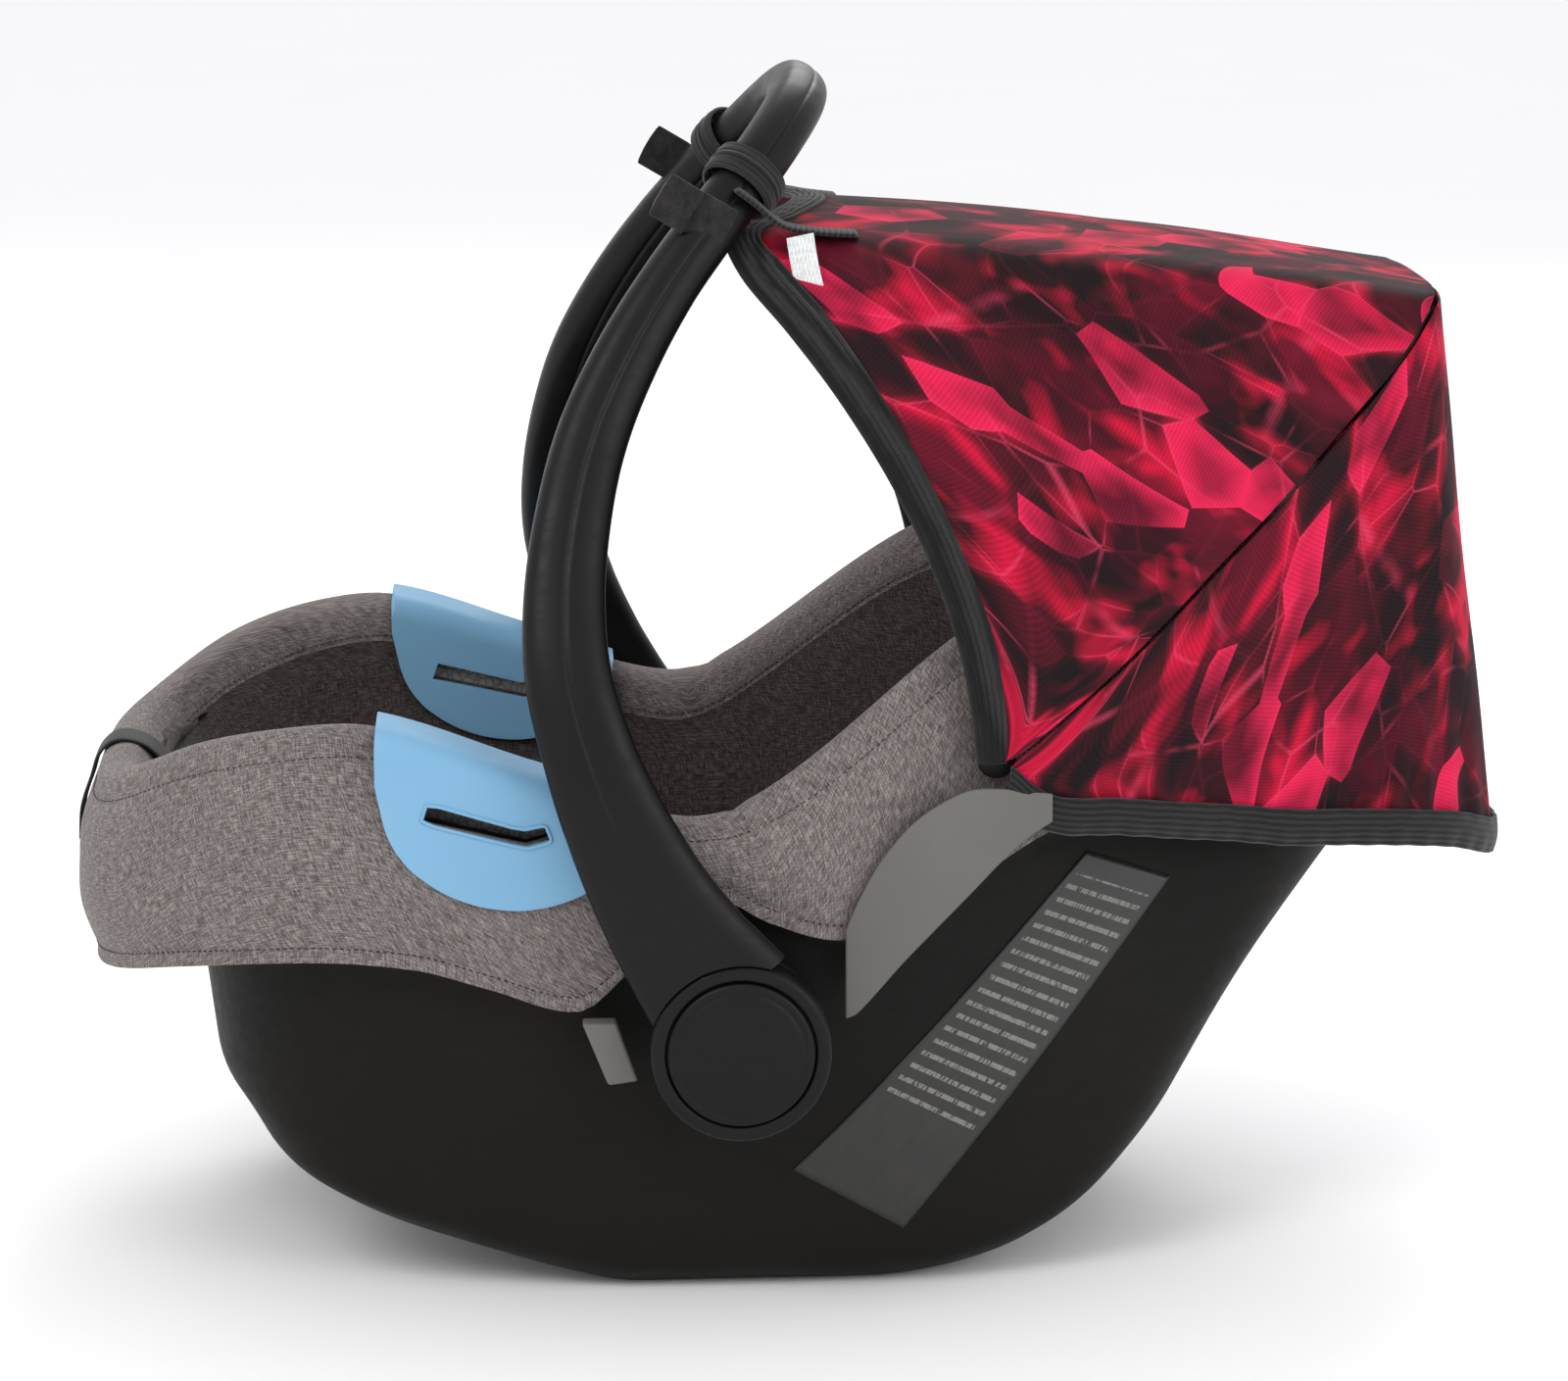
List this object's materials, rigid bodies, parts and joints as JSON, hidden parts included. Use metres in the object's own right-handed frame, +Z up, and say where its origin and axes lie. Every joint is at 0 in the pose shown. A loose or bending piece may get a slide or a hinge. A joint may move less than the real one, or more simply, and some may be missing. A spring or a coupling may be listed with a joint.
{
  "type": "infant car seat",
  "caption": "Rear-facing infant car seat: rocker shell with padded cover, belt guides, harness, swinging carry handle and a canopy tied to it.",
  "frame": {"origin": "on the floor under the middle of the whole object", "axes": "+X across the seat, -Y towards the foot end, +Y towards the head end, +Z up"},
  "size_m": [0.444, 0.7103, 0.5722],
  "materials": {
    "shell": "satin moulded plastic with a fine grain",
    "foam": "expanded polystyrene beads",
    "cover": "melange woven cover, grey-brown",
    "insert": "soft darker padded cloth",
    "webbing": "woven black webbing",
    "pad": "padded black cloth",
    "buckle": "moulded black plastic",
    "red_button": "glossy red plastic",
    "steel": "plated steel",
    "guide": "pale blue moulded plastic",
    "trim": "mid grey moulded plastic",
    "label": "dark printed film",
    "handle": "smooth black plastic with a soft gloss",
    "canopy": "printed crimson and black mesh cloth",
    "elastic": "ribbed black elastic"
  },
  "bodies": {
    "seat": {"shell": "shell", "foam_liner": "foam", "seat_cover": "cover", "seat_cushion": "insert", "back_cushion": "insert", "head_cushion": "insert", "shoulder_strap_right": "webbing", "shoulder_strap_left": "webbing", "shoulder_pad_right": "pad", "shoulder_pad_left": "pad", "hip_strap_right": "webbing", "hip_strap_left": "webbing", "crotch_strap": "webbing", "crotch_pad": "pad", "buckle_body": "buckle", "buckle_tongue_right": "steel", "buckle_tongue_left": "steel", "adjuster_strap": "webbing", "belt_guide_right": "guide", "belt_guide_left": "guide", "trim_panel_right": "trim", "trim_panel_left": "trim", "button_spring_right": "steel", "button_spring_left": "steel", "label_right": "label", "label_left": "label", "lock_ring_right": "shell", "lock_ring_left": "shell", "lock_plunger_right": "steel", "lock_plunger_left": "steel", "canopy_front_panel": "canopy", "canopy_rear_panel": "canopy", "canopy_front_elastic": "elastic", "canopy_hem": "elastic", "canopy_clip_right": "shell", "canopy_clip_left": "shell", "canopy_loop_right": "elastic", "canopy_loop_left": "elastic"},
    "handle": {"handle_front_shell": "handle", "handle_rear_shell": "handle", "handle_hub_right": "handle", "handle_hub_left": "handle", "hub_cap_right": "handle", "hub_cap_left": "handle", "pivot_bolt_right": "steel", "pivot_bolt_left": "steel"},
    "canopy_hoop": {"canopy_bow": "handle"},
    "button_right": {"release_button_right": "trim"},
    "button_left": {"release_button_left": "trim"},
    "buckle_press": {"buckle_button": "red_button"}
  },
  "joints": [
    {"name": "handle_swing", "type": "hinge", "parent": "seat", "child": "handle", "pos_m": [0, -0.03116, 0.136], "axis": [1, 0, 0], "range_deg": [-100, 0], "deforming": ["canopy_loop_right", "canopy_loop_left"]},
    {"name": "canopy_fold", "type": "hinge", "parent": "seat", "child": "canopy_hoop", "pos_m": [0, 0.09084, 0.261], "axis": [1, 0, 0], "range_deg": [-88, 0], "deforming": ["canopy_front_panel", "canopy_rear_panel", "canopy_front_elastic", "canopy_hem"]},
    {"name": "release_press_right", "type": "slide", "parent": "seat", "child": "button_right", "axis": [-1, 0, 0], "range_m": [0, 0.006], "stiffness_N_per_m": 400, "deforming": ["button_spring_right"]},
    {"name": "release_press_left", "type": "slide", "parent": "seat", "child": "button_left", "axis": [1, 0, 0], "range_m": [0, 0.006], "stiffness_N_per_m": 400, "deforming": ["button_spring_left"]},
    {"name": "buckle_press", "type": "slide", "parent": "seat", "child": "buckle_press", "axis": [0, 0, -1], "range_m": [0, 0.002], "stiffness_N_per_m": 500}
  ],
  "couplings": [
    {"joint": "canopy_fold", "follows": "handle_swing", "ratio": 0.84}
  ]
}
